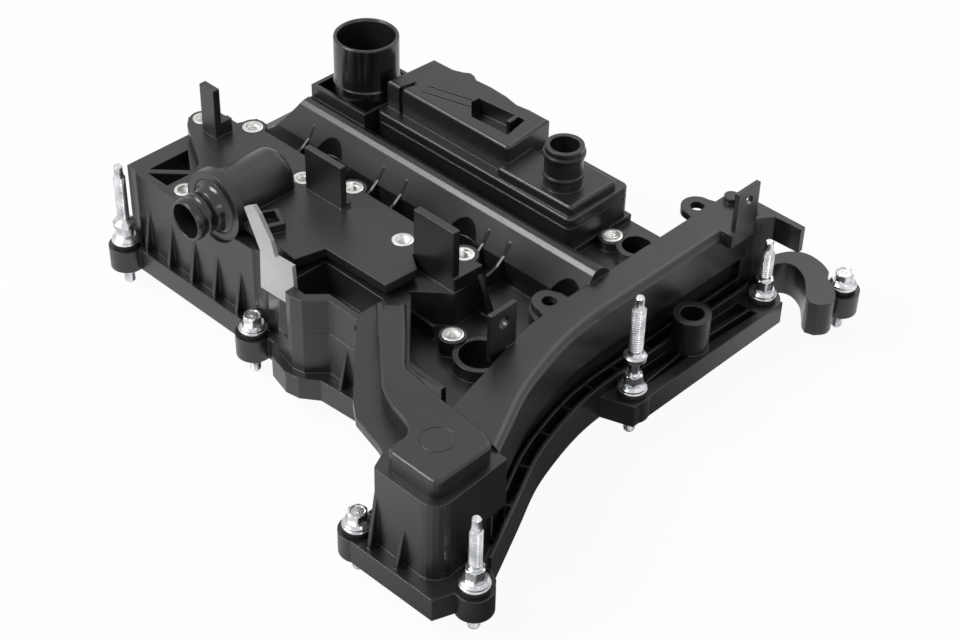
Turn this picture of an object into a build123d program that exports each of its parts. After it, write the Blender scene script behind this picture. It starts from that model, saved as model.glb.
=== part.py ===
"""Engine valve cover with crankcase breather, oil filler neck, fasteners and seals.

X runs along the camshafts towards the timing end, Y across the cover, Z up.
The gasket face of the mounting flange is the plane Z = 0.  Millimetres.
"""
import math
import os

from build123d import *

# driving dimensions
FLANGE_H = 13.0        # thickness of the mounting flange
WALL = 3.0             # wall thickness of the moulding
RIM_Z = 58.0           # top of the outer rim
VALLEY_Z = 38.0        # floor between the two banks
FAR_Z = 54.0           # deck that carries the separator
RIDGE_Z = 66.0         # crest of the long ridge
PLATE_Z = 66.0         # top of the breather cover plate
PLATE_T = 5.0          # thickness of the breather cover plate
BAR_Z = 60.0           # top of the arched bar at the timing end
LID_Z = 68.0           # top of the duct and of the corner block
LIP_Z = 20.0           # lip of the arched flange
CHANNEL_Z = 7.0        # floor of the channels in it
BOSS_R = 9.4           # fastener boss radius
SLEEVE_R = 4.6         # compression sleeve outside radius
SHANK_R = 3.0          # M6 fastener shank radius
WASHER_R = 7.5         # sealing washer radius
HEAD_FLATS = 8.8       # width across flats of every hexagon
TIP_Z = -12.0          # fastener tips below the gasket face
NECK_R = 17.6          # oil filler neck outside radius
NECK_BORE = NECK_R - 2.4       # oil filler neck bore radius
NECK_TOP = 104.0
NECK_AT = (-110.0, 35.0)
TUBE_X, TUBE_Z = -86.5, 68.0   # axis of the breather cylinder, along Y
TUBE_R = 15.2
TUBE_WALL = 2.6
COLLAR_R = 19.2
NOZZLE_R = 10.7        # side hose nozzle outside radius
NOZZLE_BORE = NOZZLE_R - 1.5
NOZZLE_END = -110.0
PCV_AT = (30.0, 38.0)  # vertical axis of the control valve and top nipple
NIPPLE_R = 9.9
NIPPLE_BORE = 7.2
NIPPLE_TOP = 101.0
INSERT_R = 5.6         # threaded insert outside radius
RING_AT = (109.2, 50.0)  # upright tube on the timing flange
RING_R, RING_BORE, RING_TOP = 9.8, 6.0, 33.0
EYELETS = (-19.5, 91.5)          # Y of the flat eyelets beside the bar
EYELET_X, EYELET_BORE = 75.0, 3.7

# from the modelling frame, on the gasket face, to the centre of the foot of the whole part
SHIFT = (1.75, 7.5, 12.0)

# fastener places on the near side, the timing side and the far side
HEX_AT = [(-51.0, -100.0), (88.0, -157.5), (136.0, 142.5), (-60.0, 85.0), (10.0, 85.0)]
COLLAR_AT = [(-154.0, -100.0), (113.0, 2.0)]
PLAIN_AT = [(111.5, 106.5), (150.5, -146.0), (-148.0, 84.0)]
BOSSES = HEX_AT + COLLAR_AT + PLAIN_AT
# threaded inserts: (x, y, top)
INSERTS = [
    (-154.0, -43.0, PLATE_Z), (-129.5, -29.5, PLATE_Z), (-118.5, -85.0, 58.5),
    (-76.0, -41.5, PLATE_Z), (-52.5, -29.0, PLATE_Z), (-3.0, -41.5, PLATE_Z),
    (26.0, -28.3, PLATE_Z), (49.5, -59.0, 47.0), (57.4, 46.2, 55.5),
]
# spark plug wells and plain wells: (x, y, bore, top)
WELLS = [(-99.5, -8.5, 10.5, 46.0), (0.0, -8.5, 10.5, 46.0), (70.5, -8.5, 10.5, 46.0),
         (67.5, -58.5, 10.5, 45.0), (71.4, 48.9, 7.5, 55.5)]
WELL_WALL = 3.0
SIDE_DECK_Z = 50.0     # lower deck beside the bar



def arc_points(cx, cy, r, a0, a1, n):
    """Points on an arc from angle a0 to a1, in degrees."""
    return [(cx + r * math.cos(math.radians(a0 + (a1 - a0) * k / n)),
             cy + r * math.sin(math.radians(a0 + (a1 - a0) * k / n))) for k in range(n + 1)]


def smooth(pts, n=4):
    """Open curve through the points, n short runs for each given run."""
    out = []
    ends = [pts[0]] + pts + [pts[-1]]
    for k in range(1, len(ends) - 2):
        a, b, c, d = ends[k - 1:k + 3]
        for m in range(n):
            t = m / n
            point = [0.5 * (2 * b[i] + (c[i] - a[i]) * t + (2 * a[i] - 5 * b[i] + 4 * c[i] - d[i]) * t ** 2
                            + (3 * b[i] - a[i] - 3 * c[i] + d[i]) * t ** 3) for i in (0, 1)]
            out.append((round(point[0], 3), round(point[1], 3)))
    return out + [pts[-1]]


def beside(pts, d):
    """Open line moved sideways by d, to the left of its direction."""
    out = []
    for k in range(len(pts)):
        ax, ay = pts[max(k - 1, 0)]
        bx, by = pts[min(k + 1, len(pts) - 1)]
        u = math.hypot(bx - ax, by - ay)
        out.append((pts[k][0] - d * (by - ay) / u, pts[k][1] + d * (bx - ax) / u))
    return out


# outer curve of the arched flange, from the front corner round to the long side
ARCH_CURVE = smooth([(140.8, -118), (130.2, -96), (118.5, -72), (111.5, -50), (107.0, -30), (105.2, -12),
                     (105, 6)])
ARCH_OUT = [(154, -136), (148, -133)] + ARCH_CURVE
RIM_T, CHANNEL_W, WEB_T, SLOT_W = 2.0, 5.0, 1.6, 1.9   # outer rim, wide channel, thin wall, narrow channel
OVERHANG = 4.2           # the bar's top stands out over its foot
FOOT = RIM_T + CHANNEL_W + WEB_T + SLOT_W
# outer line of the bar's foot and of its top
ARCH_FOOT = [(127.4, -112)] + [p for p in beside(ARCH_CURVE, FOOT) if p[1] > -110]
ARCH_WALL = [(131.2, -112)] + [p for p in beside(ARCH_CURVE, FOOT - OVERHANG) if p[1] > -110]
FOOT_X = ARCH_FOOT[-1][0]
TOP_X = ARCH_WALL[-1][0]
ARCH_IN = [(98, -112), (95, -100), (90, -78), (84.5, -58), (81, -40), (79.5, -12), (79, 13), (79, 103)]


def slab(pts, z0, z1):
    """Upright prism on a closed polygon."""
    face = make_face(Polyline(*[(x, y) for x, y in pts], close=True))
    return Pos(0, 0, z0) * extrude(face, z1 - z0)


def block(x0, x1, y0, y1, z0, z1):
    return Pos((x0 + x1) / 2, (y0 + y1) / 2, (z0 + z1) / 2) * Box(x1 - x0, y1 - y0, z1 - z0)


def rod(at, r, z0, z1):
    return Pos(at[0], at[1], (z0 + z1) / 2) * Cylinder(r, z1 - z0)


def ring(at, r_out, r_in, z0, z1):
    return rod(at, r_out, z0, z1) - rod(at, r_in, z0 - 1, z1 + 1)


def cone(at, r0, r1, z0, z1):
    return Pos(at[0], at[1], (z0 + z1) / 2) * Cone(r0, r1, z1 - z0)


def rod_y(x, z, r, y0, y1):
    return Pos(x, (y0 + y1) / 2, z) * Rot(90, 0, 0) * Cylinder(r, abs(y1 - y0))


def hexagon(at, flats, z0, z1):
    r = flats / math.sqrt(3)
    pts = [(at[0] + r * math.cos(math.radians(60 * k + 15)),
            at[1] + r * math.sin(math.radians(60 * k + 15))) for k in range(6)]
    return slab(pts, z0, z1)


def inset(pts, d):
    """Polygon moved inward by d."""
    n = len(pts)
    area = sum(pts[i - 1][0] * pts[i][1] - pts[i][0] * pts[i - 1][1] for i in range(n))
    if area < 0:
        pts = pts[::-1]
    out = []
    for i in range(n):
        (ax, ay), (bx, by), (cx, cy) = pts[i - 1], pts[i], pts[(i + 1) % n]
        u = math.hypot(bx - ax, by - ay)
        v = math.hypot(cx - bx, cy - by)
        n1 = (-(by - ay) / u, (bx - ax) / u)
        n2 = (-(cy - by) / v, (cx - bx) / v)
        k = d / max(0.3, 1 + n1[0] * n2[0] + n1[1] * n2[1])
        out.append((bx + k * (n1[0] + n2[0]), by + k * (n1[1] + n2[1])))
    return out


def prism_x(profile, x0, x1):
    """Bar along X on a closed profile of (y, z) points."""
    face = make_face(Polyline(*[(y, z) for y, z in profile], close=True))
    return Plane(origin=(x0, 0, 0), x_dir=(0, 1, 0), z_dir=(1, 0, 0)) * extrude(face, x1 - x0)


def prism_y(profile, y0, y1):
    """Bar along Y on a closed profile of (x, z) points."""
    face = make_face(Polyline(*[(x, z) for x, z in profile], close=True))
    return Plane(origin=(0, y1, 0), x_dir=(1, 0, 0), z_dir=(0, -1, 0)) * extrude(face, y1 - y0)


def save(shape, name):
    """Write one piece, in the frame whose origin is under the middle, at the fastener tips."""
    export_step(Pos(*SHIFT) * shape, f"parts/{name}.step")


# plan outlines, counter-clockwise
FLANGE = (
    [(-162, -98.5), (-37, -98.5), (-30, -106), (-16, -109.5), (-8, -108), (1, -101.5), (24, -99.8),
     (82, -99.8), (84, -160), (90, -166), (143, -165)]
    + ARCH_OUT[:-4]
    + [(121.6, -6), (121.6, 110.8), (106, 111), (100, 116), (76, 116), (72, 86), (-162, 86)]
)
BODY = (
    [(-157, -93.5), (-36, -93.5), (-30, -101), (-16, -104.5), (-9, -103), (0, -94), (99, -94),
     (100, -158)] + arc_points(129, -149, 9, -90, 0, 5)
    + ARCH_FOOT
    + [(FOOT_X, 108), (78, 108), (75, 73), (-157, 73)]
)
NEAR_BANK = [(-157, -93.5), (-36, -93.5), (-30, -101), (-16, -104.5), (-9, -103), (0, -93.5),
             (22, -93.5), (22, -60), (38, -46), (38, -28), (-157, -28)]
BAR = ARCH_WALL + [(TOP_X, 112)] + [(79, 112)] + ARCH_IN[::-1]
BAR_FOOT = ARCH_FOOT + [(FOOT_X, 112)] + [(79, 112)] + ARCH_IN[::-1]
CORNER = [(100, -158)] + arc_points(129, -149, 9, -90, 0, 5) + [(136, -112), (98, -112), (98, -150)]
WING = [(80, 103), (97.5, 103), (101.5, 110.5), (106, 116.8), (122, 117.4), (122, 120.8), (90, 120.8), (80, 112)]
RIDGE = [(-4, 30), (-3, 50), (6, 63.6), (8.2, 65.4), (11, RIDGE_Z), (14, 64.8), (17, 62), (21, 58), (21, 30)]
SEPARATOR_BASE = [(-90, 22.5), (49.5, 22.5), (49.5, 67.5), (-90, 67.5)]
SEPARATOR_LID = [(-88, 29.3), (-1.8, 29.3), (-0.3, 31), (-3.4, 63.6), (-17, 63.6), (-25, 62.4), (-34, 64.3),
                 (-46, 65), (-56.3, 64.4), (-60, 66.6), (-63.4, 67), (-66.6, 64.8), (-72, 62.7), (-86.4, 62.3)]
NIPPLE_BOX = [(-3, 24), (47.6, 24.6), (48, 59.4), (26, 59.4), (3, 50), (-3, 50)]
BASE_TOP = 72.0        # top of the separator's lower body
DUCT = (
    [(25, -86), (36, -76.5), (54, -94), (66, -106)] + arc_points(72.5, -99.5, 9.2, 225, 262, 3)
    + [(98, -112.4), (124, -114), (129, -116)] + arc_points(127.5, -121.5, 5.5, 60, 0, 3)
    + arc_points(129.0, -149.0, 4.2, 0, -90, 3) + arc_points(106.0, -149.0, 4.2, -90, -180, 3)
    + [(101.5, -145)] + arc_points(93.6, -143.0, 8.2, 5, 80, 4)[::1] + [(84, -132), (76, -128.5)]
    + [(70, -125), (46, -104), (36, -96)]
)
HOOK_IN = [(102, 112), (102.5, 121), (104.5, 127.5), (107.5, 131), (112, 132), (117, 130.5), (122.3, 127),
           (128, 120.5), (132, 115.5), (135.8, 113)]
HOOK_OUT = [(140.5, 114.5), (144, 119.5), (143.5, 125), (139.3, 130.5), (134, 136), (127.6, 141), (122, 144),
            (116, 145.5), (110.5, 145.5), (105.5, 143.5), (101, 138.5), (98, 131), (96, 120), (95, 112)]


def rounded_bar():
    """Arched bar with its outer top edge rounded."""
    bar = slab(BAR, 34, BAR_Z)
    curve = ARCH_WALL
    chosen = []
    for e in bar.edges():
        c = e.center()
        if abs(c.Z - BAR_Z) > 0.01:
            continue
        for i in range(len(curve) - 1):
            mx = (curve[i][0] + curve[i + 1][0]) / 2
            my = (curve[i][1] + curve[i + 1][1]) / 2
            if math.hypot(c.X - mx, c.Y - my) < 0.5:
                chosen.append(e)
        if abs(c.X - TOP_X) < 0.1 and e.length > 50:
            chosen.append(e)
    return fillet(chosen, 4.0)


def soften(shape, z, r, flat_bevel=False):
    """Round or bevel every edge that lies in the level z."""
    flat = [e for e in shape.edges() if abs(e.bounding_box().min.Z - z) < 0.01
            and abs(e.bounding_box().max.Z - z) < 0.01]
    return chamfer(flat, r) if flat_bevel else fillet(flat, r)


def cover_shell():
    outer = [slab(FLANGE, 0, FLANGE_H), slab(BODY, 2, VALLEY_Z), slab(NEAR_BANK, 2, RIM_Z),
             prism_x(RIDGE, -157, 80), slab([(-157, 20), (80, 20), (77.5, 73), (-157, 73)], 2, 40),
             slab([(-157, 16), (51, 16), (51, 68.5), (-157, 68.5)], 2, FAR_Z),
             slab([(50, 16), (FOOT_X, 16), (FOOT_X, 68.5), (50, 68.5)], 2, SIDE_DECK_Z),
             slab(CORNER, 2, RIM_Z), rounded_bar(), slab(BAR_FOOT, 2, 36), slab(WING[:4] + WING[6:], FLANGE_H - 3, 56.5),
             slab(WING, 42, 56.5)]
    # rim of the arched flange
    lip = ARCH_OUT[1:] + [(105, 104)]
    outer.append(slab(lip + beside(lip, FOOT + 1)[::-1], 0, LIP_Z))
    outer += [rod(c, BOSS_R, 0, FLANGE_H) for c in BOSSES]
    outer.append(slab(smooth(HOOK_IN, 3) + smooth(HOOK_OUT, 3), 0, LIP_Z))
    outer.append(ring(RING_AT, RING_R, RING_BORE, 4, RING_TOP))
    shell = outer[0] + outer[1:]
    # the deck falls away towards the rear in a hollow curve
    fall = [(-170, 40), (-157, 40), (-151, 42), (-144, 47), (-138, 54), (-133, 62), (-129, 70), (-129, 90), (-170, 90)]
    shell = shell - prism_y(fall, -6, 90)

    # hollow underside, open towards the gasket face
    hollow = [slab(inset(BODY, WALL), -1, VALLEY_Z - WALL), slab(inset(NEAR_BANK, WALL), -1, 52),
              prism_x([(0.2, 20), (0.2, 49), (7.6, 60.3), (10.5, 62), (13, 61), (18, 54), (18, 20)], -127, 78),
              slab([(-130, 16), (48, 16), (48, 65.5), (-130, 65.5)], -1, FAR_Z - WALL),
              slab([(47, 16), (76, 16), (76, 65.5), (47, 65.5)], -1, SIDE_DECK_Z - WALL),
              slab([(103, -155), (132, -155), (134.5, -149), (133, -115), (101, -115)], -1, RIM_Z - WALL)]
    hollow.append(slab(inset(BAR_FOOT, WALL), -1, 38))
    hollow.append(slab(inset(BAR, WALL), 37, BAR_Z - WALL))
    keep = [rod(c, BOSS_R + 2, FLANGE_H - 3, 60) for c in BOSSES]
    keep += [rod((x, y), bore + WELL_WALL, VALLEY_Z - WALL, 70) for x, y, bore, top in WELLS]
    keep += [slab([(-27, -99), (-12, -99), (-2, -92), (20, -92), (20, -71), (-27, -71)], 38, 62),
             slab([(-149, -92), (-125, -92), (-125, -69), (-140, -60), (-149, -55)], 46, 62),
             block(-69, -27, -73, -31, 47, 62),
             prism_x([(-91, 70), (-91, 40), (-96, 26), (-112, 26), (-112, 70)], -37, -18)]
    for part in hollow:
        shell = shell - (part - keep)
    # raised parts that go on after the hollow is cut
    shelf = [(0, -93.5), (20, -93.5), (60, -133.5), (70, -141), (90, -146), (95, -148), (99, -157),
             (104, -157), (104, -112), (60, -98), (24, -62), (18, -62), (18, -93.5)]
    add = [slab(shelf, RIM_Z - 5, RIM_Z)]
    # upright walls under the shelf that carry it
    add.append(slab([(17, -92.5), (21, -97), (80, -97), (80, -94), (24, -92.5)], FLANGE_H, RIM_Z - 4))
    # stiffening ribs on the near wall
    for x in (-140, -121.5, -103, -85, -67):
        add.append(prism_y([(x - 1.0, FLANGE_H - 1), (x + 1.0, FLANGE_H - 1), (x + 1.0, 44),
                            (x - 1.0, 44)], -97.5, -92) - prism_x(
            [(-98, 44.1), (-92.6, 44.1), (-98, FLANGE_H)], x - 2, x + 2))
    # triangular rib beside the rounded bay, and two at the corner block
    add.append(prism_x([(-93, 40), (-99, FLANGE_H), (-93, FLANGE_H)], 11, 13))
    add.append(prism_x([(-157, 48), (-163, FLANGE_H), (-157, FLANGE_H)], 99.6, 101.6))
    add.append(prism_x([(-157, 38), (-163, FLANGE_H), (-157, FLANGE_H)], 117, 119))
    # spark plug wells and the plain wells
    for x, y, bore, top in WELLS:
        add.append(rod((x, y), bore + WELL_WALL, 0, top))
    # pointed webs in the trench, up the near face of the ridge
    for x in (-117.0, -63.0, -45.6, 13.8, 28.3):
        add.append(prism_x([(-14, 36), (-14, 46), (-7, 48), (-2, 52), (2, 58.5), (3.5, 58), (3.5, 36)],
                           x - 0.8, x + 0.8))
    # insert bosses
    add += [rod((x, y), 7.0 if z < PLATE_Z else 7.2, 30, z - (PLATE_T if z == PLATE_Z else 0.3))
            for x, y, z in INSERTS]
    add.append(rod(INSERTS[6][:2], 7.6, 34, PLATE_Z))
    # block beside the second tall plate
    add.append(slab([(9.5, -46), (37.5, -46), (38.5, -28), (9.5, -28)], 34, PLATE_Z))
    add.append(block(9.5, 36.5, -46, -42, PLATE_Z - 1, 93))
    add.append(prism_y([(9.5, 56), (9.5, 34), (16, 34)], -46, -43))
    add.append(prism_y([(38, 62), (48, 40), (38, 40)], -31, -28))
    # pocket ribs between the duct and the valley
    add.append(block(22, 38, -61, -59, 34, 46))
    add.append(slab([(19, -60), (22, -60), (22, -93), (19, -93)], 34, RIM_Z))
    # tray that the filler neck stands in
    add.append(slab([(-132, 14.5), (-90.1, 14.5), (-90.1, 60), (-132, 60)], FAR_Z - 4, 72))
    # eyelets on the inner side of the bar
    for y in EYELETS:
        add.append(rod((EYELET_X, y), 8.5, BAR_Z - 4, BAR_Z))
        add.append(slab([(EYELET_X, y - 8.5), (83, y - 11), (83, y + 11), (EYELET_X, y + 8.5)], BAR_Z - 4, BAR_Z))
    # upright tabs on the bar
    for x, y0, y1 in ((83.5, -70, -53), (102.5, 86, 103)):
        tab = block(x - 1.3, x + 1.3, y0, y1, BAR_Z - 3, 84)
        hole = Pos(x, (y0 + y1) / 2, 76) * Rot(0, 90, 0) * Cylinder(3.2, 6)
        add.append(tab - hole)
    add.append(block(95, 104, 84, 104, RIM_Z - 6, BAR_Z))
    # bump at the far end of the bar
    add.append(rod((84, 108), 4, BAR_Z - 2, BAR_Z + 3))
    shell = shell + add

    # cuts
    cut = []
    for x, y in BOSSES:
        cut.append(rod((x, y), SLEEVE_R, -5, FLANGE_H + 5))
        cut.append(rod((x, y), WASHER_R + 0.9, FLANGE_H, 62))
    guard = [block(79.3, 100, -40, 70, 46, 80), slab([(60, -40), (90, -40), (90, -11), (EYELET_X, -11),
                                                      (68, -14), (60, -14)], 50, 80)]
    for x, y, bore, top in WELLS:
        cut.append(rod((x, y), bore, -2, top + 0.01))
        cut.append(rod((x, y), bore + 0.4, top, 80) - guard)
    for y in EYELETS:
        cut.append(rod((EYELET_X, y), EYELET_BORE, 50, 70))
    for x, y, z in INSERTS:
        cut.append(rod((x, y), INSERT_R, z - 13, z + 4))
    # trench between the chamber wall and the outer rim
    cut.append(slab([(-24, -98), (-12, -98), (-4, -89.5), (17, -89.5), (17, -74), (-24, -74)], 41, 70))
    # the bay's left end slopes back under the side plate
    cut.append(prism_x([(-94.9, 70), (-94.9, 42), (-101, 28), (-112, 28), (-112, 70)], -38, -20.2))
    # pocket behind the rear rim
    cut.append(slab([(-146, -86.4), (-130.4, -71.6), (-146, -60.6)], 49, 70))
    cut.append(slab([(-144, -89), (-128, -89), (-128, -73.6)], 49, 70))
    # chamber under the breather plate
    cut.append(block(-66, -30, -70, -34, 50, 70))
    # channels in the arched flange, with a thin wall between them and cross webs in the wide one
    wide = slab(beside(lip, RIM_T) + beside(lip, RIM_T + CHANNEL_W)[::-1], CHANNEL_Z, 30)
    narrow = slab(beside(lip, FOOT - SLOT_W) + beside(lip, FOOT + 0.05)[::-1], CHANNEL_Z, 30)
    webs = []
    for k in range(3, len(ARCH_CURVE), 4):
        (ax, ay), (bx, by) = ARCH_CURVE[k - 1], ARCH_CURVE[k]
        turn = math.degrees(math.atan2(by - ay, bx - ax))
        webs.append(Pos(bx, by, 12) * Rot(0, 0, turn) * Box(1.2, 30, 20))
    webs += [block(90, 110, y - 0.6, y + 0.6, 0, LIP_Z) for y in (26, 74)]
    cut.append(wide - webs)
    cut.append(narrow)
    # recess in the long timing flange, crossed by ribs
    deep = slab([(105.2, 13), (114.5, 13), (115.5, 57), (117.5, 94), (105.2, 94)], CHANNEL_Z - 1, 20)
    ribs = [slab([(112.2, 10), (113.8, 10), (111.2, 44), (109.6, 44)], 0, 17),
            slab([(110.2, 56), (111.8, 56), (113.6, 97), (112.0, 97)], 0, 17), rod(RING_AT, RING_R, 0, 20)]
    cut.append(deep - ribs)
    cut.append(rod(RING_AT, RING_BORE, -2, 40))
    # inside of the neck tray, and the neck and duct passages
    cut.append(slab([(-129.5, 17), (-91.6, 17), (-91.6, 57.5), (-129.5, 57.5)], 60, 80))
    cut.append(rod(NECK_AT, NECK_R + 0.8, 30, 80))
    # seat of the breather collar in the near wall
    cut.append(rod_y(TUBE_X, TUBE_Z, COLLAR_R + 0.1, -100, -85.9))
    cut.append(rod((PCV_AT[0], PCV_AT[1]), 9, 40, 60))
    cut.append(block(-60, -20, 36, 58, 40, 60))
    # gasket groove
    cut.append(slab(inset(BODY, -1.2), -1, 4) - slab(inset(BODY, 1.6), -2, 5))
    for x, y, bore, top in WELLS:
        cut.append(ring((x, y), bore + 2.4, bore + 0.8, -1, 4))
    shell = shell - cut
    # collar around each ring boss that was covered by the channel cuts
    shell = shell + ring(RING_AT, RING_R, RING_BORE, 4, RING_TOP)
    return shell


def biggest(shape):
    """The largest body of a shape, without slivers."""
    bodies = sorted(shape.solids(), key=lambda s: s.volume)
    return bodies[-1]


def breather_cover():
    plate = [(-160, -48), (-155, -53), (-144, -59), (-123, -71), (-112, -88), (-66, -88), (-28, -90),
             (-24, -73.5), (17.5, -72.5), (19, -53), (9, -46.4), (9, -27.5), (-122, -27.5), (-126, -22.5),
             (-134, -23), (-138, -33), (-152, -33), (-160, -37)]
    body = slab(plate, PLATE_Z - PLATE_T, PLATE_Z)
    # chamber skirt that drops into the deck
    skirt = block(-65.6, -30.4, -69.6, -34.4, 51, PLATE_Z - 1)
    body = body + skirt - block(-63, -33, -67, -37, 49, PLATE_Z - 2.4)
    # cylinder with a rounded end, and its collar
    tube = rod_y(TUBE_X, TUBE_Z, TUBE_R, -90, -48.5)
    tube = fillet([e for e in tube.edges() if e.center().Y > -49], 5)
    tube = tube + rod_y(TUBE_X, TUBE_Z, COLLAR_R, -92, -86)
    tube = tube - block(-120, -50, -85.99, -20, 20, PLATE_Z - PLATE_T)
    body = body + tube
    body = body - rod_y(TUBE_X, TUBE_Z, TUBE_R - TUBE_WALL, -93, -52)
    body = body - rod_y(TUBE_X, TUBE_Z, COLLAR_R - 4.3, -96, -89)
    # fin and first tall plate
    fin = block(-145, -134, -50.5, -46.5, PLATE_Z - 1, 95) + block(-138, -134, -50.5, -39.5, PLATE_Z - 1, 74)
    tall = block(-68.5, -42, -46.3, -42.8, PLATE_Z - 1, 91) + block(-68.5, -42, -46.3, -40, PLATE_Z - 1, 68)
    # mounting clip pocket beside the cylinder
    clip = slab([(-66, -84), (-52, -88), (-48, -78), (-60, -72)], PLATE_Z - 1, 71)
    clip = clip - slab([(-63.5, -82), (-54, -85), (-51, -79), (-60, -75)], PLATE_Z, 73)
    body = body + [fin, tall, clip]
    for x, y, z in INSERTS:
        if z == PLATE_Z:
            body = body + ring((x, y), 7.2, INSERT_R, PLATE_Z - PLATE_T, PLATE_Z)
            body = body - rod((x, y), INSERT_R, 40, PLATE_Z + 2)
    # clear of the block that the second tall plate stands on
    body = body - slab([(9.4, -47), (40, -47), (40, -20), (9.4, -20)], 30, 99)
    return biggest(body)


def side_plate():
    """Pale plate on the near wall, with a ragged upper edge."""
    edge = [(-55.5, 86.4), (-48.5, 90.7), (-44.6, 87.4), (-40.5, 81.2), (-36.5, 75.6), (-34.1, 67.8),
            (-21.7, 68.6), (-20.2, 43.6), (-46.3, 42.5), (-45.3, 66.0)]
    plate = prism_y(edge, -97.2, -94.9)
    # web that carries it on the near wall
    return plate + block(-46, -40, -96, -93.5, 44, RIM_Z)


def timing_lid():
    body = soften(slab(DUCT, RIM_Z, LID_Z), LID_Z, 1.8) - slab(inset(DUCT, 2.6), RIM_Z - 1, LID_Z - 2.8)
    body = body - Pos(31, -81.5, LID_Z) * Rot(0, 0, -45) * Box(9, 8, 4)
    mark = ring((113.5, -133), 8.2, 7.7, LID_Z - 0.3, LID_Z + 1)
    return biggest(body - mark)


def corner_rounded(points, low, high, r):
    """Slab whose corners nearest the ridge or the timing end are rounded."""
    body = slab(points, low, high)
    upright = [e for e in body.edges() if abs(e.bounding_box().max.Z - e.bounding_box().min.Z) > 1
               and (e.center().Y < 32 or e.center().X > 40)]
    return fillet(upright, r)


def separator_lid():
    base = soften(corner_rounded(SEPARATOR_BASE, FAR_Z, BASE_TOP, 4), BASE_TOP, 1.2)
    lid = soften(slab(SEPARATOR_LID, BASE_TOP - 2, 88), 88, 1.8)
    box = soften(corner_rounded(NIPPLE_BOX, BASE_TOP - 2, 78, 2.5), 78, 1.8)
    # parting groove between the two welded halves
    body = base - (block(-92, 52, 20, 70, 66, 67) - corner_rounded(inset(SEPARATOR_BASE, 0.8), 65, 68, 3.2))
    body = body + [lid, box]
    body = body - [block(-87.4, 46.9, 25.1, 64.9, FAR_Z - 1, BASE_TOP - 2.6),
                   block(-85.2, -6, 32.2, 59.6, BASE_TOP - 8, 85.4),
                   slab([(0, 27), (44.8, 27.4), (45.2, 56.4), (27, 56.4), (5.5, 47.6), (0, 47.6)], BASE_TOP - 8, 75.4)]
    # pocket with its post, slots and notch in the lid's top
    well = [(-33, 36.5), (-42.9, 46.5), (-42.5, 52), (-18, 54.2), (-11.8, 54.6), (-8.5, 38)]
    body = body + slab([(-31, 33), (-46, 46), (-46, 55), (-18, 57), (-9, 57), (-5, 35)], 76, 88)
    body = body - slab(well, 79, 90)
    body = body + slab([(-18, 47), (-15.6, 47), (-16.4, 55), (-18.6, 55)], 78, 88)
    body = body - [slab([(-69.6, 41.4), (-69.3, 40.4), (-43.6, 47.6), (-43.9, 48.7)], 86.6, 90),
                   slab([(-67.8, 35.6), (-67.5, 34.6), (-39.6, 42.5), (-40.0, 43.6)], 86.6, 90)]
    body = body - slab([(-79.7, 27), (-76.9, 27), (-73.6, 39.4), (-76.8, 39.2)], BASE_TOP, 90)
    body = body + slab([(-82, 38.2), (-71, 38.2), (-71, 40.4), (-82, 40.4)], BASE_TOP - 2, 87)
    # top nipple and the seat tube of the control valve
    body = body + rod(PCV_AT, NIPPLE_R, 77, NIPPLE_TOP)
    body = body + [ring(PCV_AT, NIPPLE_R + 0.9, NIPPLE_R - 1, z, z + 1.6) for z in (96, 84)]
    body = body + rod(PCV_AT, NIPPLE_R, 62, 80)
    body = body - rod(PCV_AT, NIPPLE_BORE, 50, 110) - rod(PCV_AT, NIPPLE_BORE + 0.3, 88, 110)
    return biggest(body)


def oil_filler_neck():
    neck = ring(NECK_AT, NECK_R, NECK_BORE, 46, NECK_TOP)
    neck = neck + ring(NECK_AT, NECK_R + 0.6, NECK_R - 1, 57, 78)
    return biggest(neck)


def pcv_valve_seat():
    seat = ring(PCV_AT, NIPPLE_BORE, 3.4, 62, 66)
    return seat


def pcv_plunger():
    return rod(PCV_AT, 6.4, 66.3, 68.3) + cone(PCV_AT, 4.8, 1.8, 68.3, 74) + rod(PCV_AT, 1.8, 74, 80)


SPRING_LOW, SPRING_HIGH = 68.5, 86.0


def pcv_spring():
    wire = 0.5
    low, high = SPRING_LOW + wire, SPRING_HIGH - wire
    path = Pos(PCV_AT[0], PCV_AT[1], low) * Helix(pitch=(high - low) / 6, height=high - low, radius=5.7)
    start = path @ 0
    profile = Plane(origin=start, z_dir=path % 0) * Circle(wire)
    return sweep(profile, path=path)


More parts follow.
